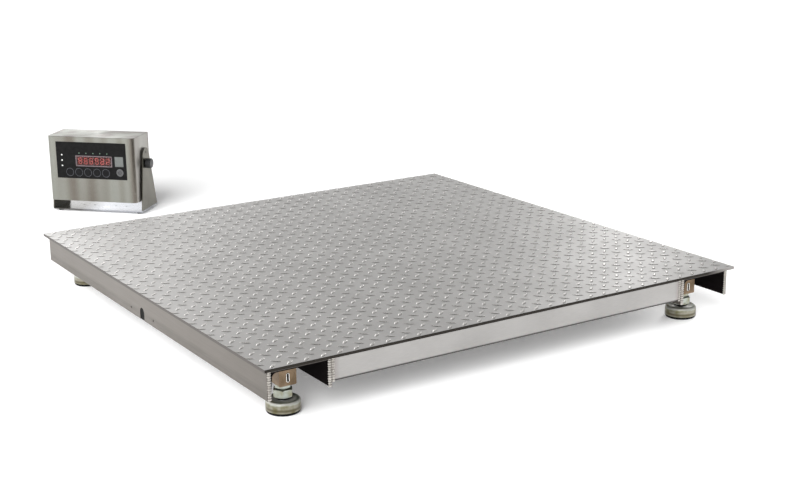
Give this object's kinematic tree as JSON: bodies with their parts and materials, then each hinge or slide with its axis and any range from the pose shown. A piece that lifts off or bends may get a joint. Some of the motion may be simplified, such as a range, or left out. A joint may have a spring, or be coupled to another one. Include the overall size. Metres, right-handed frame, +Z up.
{
  "type": "platform scale",
  "caption": "Low square floor scale of tread plate on side channels with load cells and swivel levelling feet, and a separate weight indicator tilting on a bent bracket.",
  "frame": {"origin": "centre of the deck's top face", "axes": "+X to the right along the front edge, +Y to the back, +Z up"},
  "size_m": [1.2, 1.992, 0.2369],
  "materials": {
    "tread_plate": "rolled stainless tread plate, satin",
    "rolled_channel": "hot-rolled stainless channel, blasted",
    "folded_sheet": "folded stainless sheet, satin",
    "plain_steel": "machined stainless steel",
    "nickel_brass": "nickel-plated brass",
    "zinc_steel": "zinc-plated steel, yellowish",
    "cell_steel": "alloy steel, dull nickel plate",
    "black_rubber": "matt rubber",
    "bearing_steel": "polished bearing steel",
    "circuit_board": "glass-fibre board with green lacquer",
    "brushed_sheet": "brushed stainless sheet",
    "black_film": "printed polyester film",
    "window_filter": "red-tinted clear filter",
    "red_diode": "lit red diode bars",
    "battery_case": "moulded battery case",
    "knob_plastic": "moulded black plastic",
    "key_film": "embossed black film key",
    "grey_key_film": "embossed grey film key"
  },
  "bodies": {
    "platform": {"deck_plate": "tread_plate", "side_channel_left": "rolled_channel", "side_channel_right": "rolled_channel", "cross_beam_front": "folded_sheet", "cross_beam_rear": "folded_sheet", "deck_ribs": "folded_sheet", "load_cell_pads": "plain_steel", "load_cell_bolts": "plain_steel", "cable_glands": "nickel_brass", "jam_nuts": "zinc_steel", "junction_box": "folded_sheet", "junction_box_lid": "folded_sheet", "junction_board": "circuit_board", "load_cell_front_left": "cell_steel", "load_cell_front_right": "cell_steel", "load_cell_rear_left": "cell_steel", "load_cell_rear_right": "cell_steel", "indicator_bracket": "brushed_sheet", "bracket_feet": "black_rubber"},
    "foot_carrier_front_left": {"foot_seal_front_left": "black_rubber"},
    "foot_screw_front_left": {"foot_stud_front_left": "zinc_steel"},
    "foot_swivel_front_left": {"foot_ball_front_left": "bearing_steel"},
    "foot_base_front_left": {"foot_cup_front_left": "zinc_steel", "foot_rubber_front_left": "black_rubber"},
    "foot_carrier_front_right": {"foot_seal_front_right": "black_rubber"},
    "foot_screw_front_right": {"foot_stud_front_right": "zinc_steel"},
    "foot_swivel_front_right": {"foot_ball_front_right": "bearing_steel"},
    "foot_base_front_right": {"foot_cup_front_right": "zinc_steel", "foot_rubber_front_right": "black_rubber"},
    "foot_carrier_rear_left": {"foot_seal_rear_left": "black_rubber"},
    "foot_screw_rear_left": {"foot_stud_rear_left": "zinc_steel"},
    "foot_swivel_rear_left": {"foot_ball_rear_left": "bearing_steel"},
    "foot_base_rear_left": {"foot_cup_rear_left": "zinc_steel", "foot_rubber_rear_left": "black_rubber"},
    "foot_carrier_rear_right": {"foot_seal_rear_right": "black_rubber"},
    "foot_screw_rear_right": {"foot_stud_rear_right": "zinc_steel"},
    "foot_swivel_rear_right": {"foot_ball_rear_right": "bearing_steel"},
    "foot_base_rear_right": {"foot_cup_rear_right": "zinc_steel", "foot_rubber_rear_right": "black_rubber"},
    "indicator_head": {"indicator_housing": "brushed_sheet", "cover_gasket": "black_rubber", "rear_cover": "brushed_sheet", "cover_screws": "plain_steel", "front_overlay": "black_film", "display_window": "window_filter", "led_display": "red_diode", "circuit_boards": "circuit_board", "battery": "battery_case", "indicator_glands": "nickel_brass"},
    "knob_carrier_left": {"knob_washer_left": "knob_plastic"},
    "clamp_left": {"knob_left": "knob_plastic"},
    "knob_carrier_right": {"knob_washer_right": "knob_plastic"},
    "clamp_right": {"knob_right": "knob_plastic"},
    "key_1_button": {"key_1": "key_film"},
    "key_2_button": {"key_2": "key_film"},
    "key_3_button": {"key_3": "key_film"},
    "key_4_button": {"key_4": "key_film"},
    "key_5_button": {"key_5": "key_film"},
    "power_key_button": {"power_key": "grey_key_film"}
  },
  "joints": [
    {"name": "foot_turn_front_left", "type": "hinge", "parent": "foot_carrier_front_left", "child": "foot_screw_front_left", "pos_m": [-0.52, -0.518, -0.104], "axis": [0, 0, -1], "range_deg": [-288, 1728]},
    {"name": "foot_lift_front_left", "type": "slide", "parent": "platform", "child": "foot_carrier_front_left", "axis": [0, 0, -1], "range_m": [-0.002, 0.012]},
    {"name": "foot_tilt_x_front_left", "type": "hinge", "parent": "foot_carrier_front_left", "child": "foot_swivel_front_left", "pos_m": [-0.52, -0.518, -0.104], "axis": [1, 0, 0], "range_deg": [-5, 5]},
    {"name": "foot_tilt_y_front_left", "type": "hinge", "parent": "foot_swivel_front_left", "child": "foot_base_front_left", "pos_m": [-0.52, -0.518, -0.104], "axis": [0, 1, 0], "range_deg": [-5, 5]},
    {"name": "foot_turn_front_right", "type": "hinge", "parent": "foot_carrier_front_right", "child": "foot_screw_front_right", "pos_m": [0.52, -0.518, -0.104], "axis": [0, 0, -1], "range_deg": [-288, 1728]},
    {"name": "foot_lift_front_right", "type": "slide", "parent": "platform", "child": "foot_carrier_front_right", "axis": [0, 0, -1], "range_m": [-0.002, 0.012]},
    {"name": "foot_tilt_x_front_right", "type": "hinge", "parent": "foot_carrier_front_right", "child": "foot_swivel_front_right", "pos_m": [0.52, -0.518, -0.104], "axis": [1, 0, 0], "range_deg": [-5, 5]},
    {"name": "foot_tilt_y_front_right", "type": "hinge", "parent": "foot_swivel_front_right", "child": "foot_base_front_right", "pos_m": [0.52, -0.518, -0.104], "axis": [0, 1, 0], "range_deg": [-5, 5]},
    {"name": "foot_turn_rear_left", "type": "hinge", "parent": "foot_carrier_rear_left", "child": "foot_screw_rear_left", "pos_m": [-0.52, 0.518, -0.104], "axis": [0, 0, -1], "range_deg": [-288, 1728]},
    {"name": "foot_lift_rear_left", "type": "slide", "parent": "platform", "child": "foot_carrier_rear_left", "axis": [0, 0, -1], "range_m": [-0.002, 0.012]},
    {"name": "foot_tilt_x_rear_left", "type": "hinge", "parent": "foot_carrier_rear_left", "child": "foot_swivel_rear_left", "pos_m": [-0.52, 0.518, -0.104], "axis": [1, 0, 0], "range_deg": [-5, 5]},
    {"name": "foot_tilt_y_rear_left", "type": "hinge", "parent": "foot_swivel_rear_left", "child": "foot_base_rear_left", "pos_m": [-0.52, 0.518, -0.104], "axis": [0, 1, 0], "range_deg": [-5, 5]},
    {"name": "foot_turn_rear_right", "type": "hinge", "parent": "foot_carrier_rear_right", "child": "foot_screw_rear_right", "pos_m": [0.52, 0.518, -0.104], "axis": [0, 0, -1], "range_deg": [-288, 1728]},
    {"name": "foot_lift_rear_right", "type": "slide", "parent": "platform", "child": "foot_carrier_rear_right", "axis": [0, 0, -1], "range_m": [-0.002, 0.012]},
    {"name": "foot_tilt_x_rear_right", "type": "hinge", "parent": "foot_carrier_rear_right", "child": "foot_swivel_rear_right", "pos_m": [0.52, 0.518, -0.104], "axis": [1, 0, 0], "range_deg": [-5, 5]},
    {"name": "foot_tilt_y_rear_right", "type": "hinge", "parent": "foot_swivel_rear_right", "child": "foot_base_rear_right", "pos_m": [0.52, 0.518, -0.104], "axis": [0, 1, 0], "range_deg": [-5, 5]},
    {"name": "head_tilt", "type": "hinge", "parent": "platform", "child": "indicator_head", "pos_m": [-0.18921, 1.24042, 0.02495], "axis": [0.6947, -0.7193, 0], "range_deg": [-45, 45]},
    {"name": "knob_slide_left", "type": "slide", "parent": "indicator_head", "child": "knob_carrier_left", "axis": [-0.6947, 0.7193, 0], "range_m": [0, 0.002]},
    {"name": "knob_turn_left", "type": "hinge", "parent": "knob_carrier_left", "child": "clamp_left", "pos_m": [-0.29237, 1.34724, 0.02495], "axis": [-0.6947, 0.7193, 0], "range_deg": [0, 720]},
    {"name": "knob_slide_right", "type": "slide", "parent": "indicator_head", "child": "knob_carrier_right", "axis": [0.6947, -0.7193, 0], "range_m": [0, 0.002]},
    {"name": "knob_turn_right", "type": "hinge", "parent": "knob_carrier_right", "child": "clamp_right", "pos_m": [-0.08605, 1.1336, 0.02495], "axis": [0.6947, -0.7193, 0], "range_deg": [0, 720]},
    {"name": "key_1_press", "type": "slide", "parent": "indicator_head", "child": "key_1_button", "axis": [0.7193, 0.6947, 0], "range_m": [0, 0.0005], "stiffness_N_per_m": 4000},
    {"name": "key_2_press", "type": "slide", "parent": "indicator_head", "child": "key_2_button", "axis": [0.7193, 0.6947, 0], "range_m": [0, 0.0005], "stiffness_N_per_m": 4000},
    {"name": "key_3_press", "type": "slide", "parent": "indicator_head", "child": "key_3_button", "axis": [0.7193, 0.6947, 0], "range_m": [0, 0.0005], "stiffness_N_per_m": 4000},
    {"name": "key_4_press", "type": "slide", "parent": "indicator_head", "child": "key_4_button", "axis": [0.7193, 0.6947, 0], "range_m": [0, 0.0005], "stiffness_N_per_m": 4000},
    {"name": "key_5_press", "type": "slide", "parent": "indicator_head", "child": "key_5_button", "axis": [0.7193, 0.6947, 0], "range_m": [0, 0.0005], "stiffness_N_per_m": 4000},
    {"name": "power_key_press", "type": "slide", "parent": "indicator_head", "child": "power_key_button", "axis": [0.7193, 0.6947, 0], "range_m": [0, 0.0005], "stiffness_N_per_m": 4000}
  ],
  "couplings": [
    {"joint": "foot_turn_front_left", "follows": "foot_lift_front_left", "rad_per_m": 2513.3},
    {"joint": "foot_turn_front_right", "follows": "foot_lift_front_right", "rad_per_m": 2513.3},
    {"joint": "foot_turn_rear_left", "follows": "foot_lift_rear_left", "rad_per_m": 2513.3},
    {"joint": "foot_turn_rear_right", "follows": "foot_lift_rear_right", "rad_per_m": 2513.3},
    {"joint": "knob_turn_left", "follows": "knob_slide_left", "rad_per_m": 6283.2},
    {"joint": "knob_turn_right", "follows": "knob_slide_right", "rad_per_m": 6283.2}
  ]
}
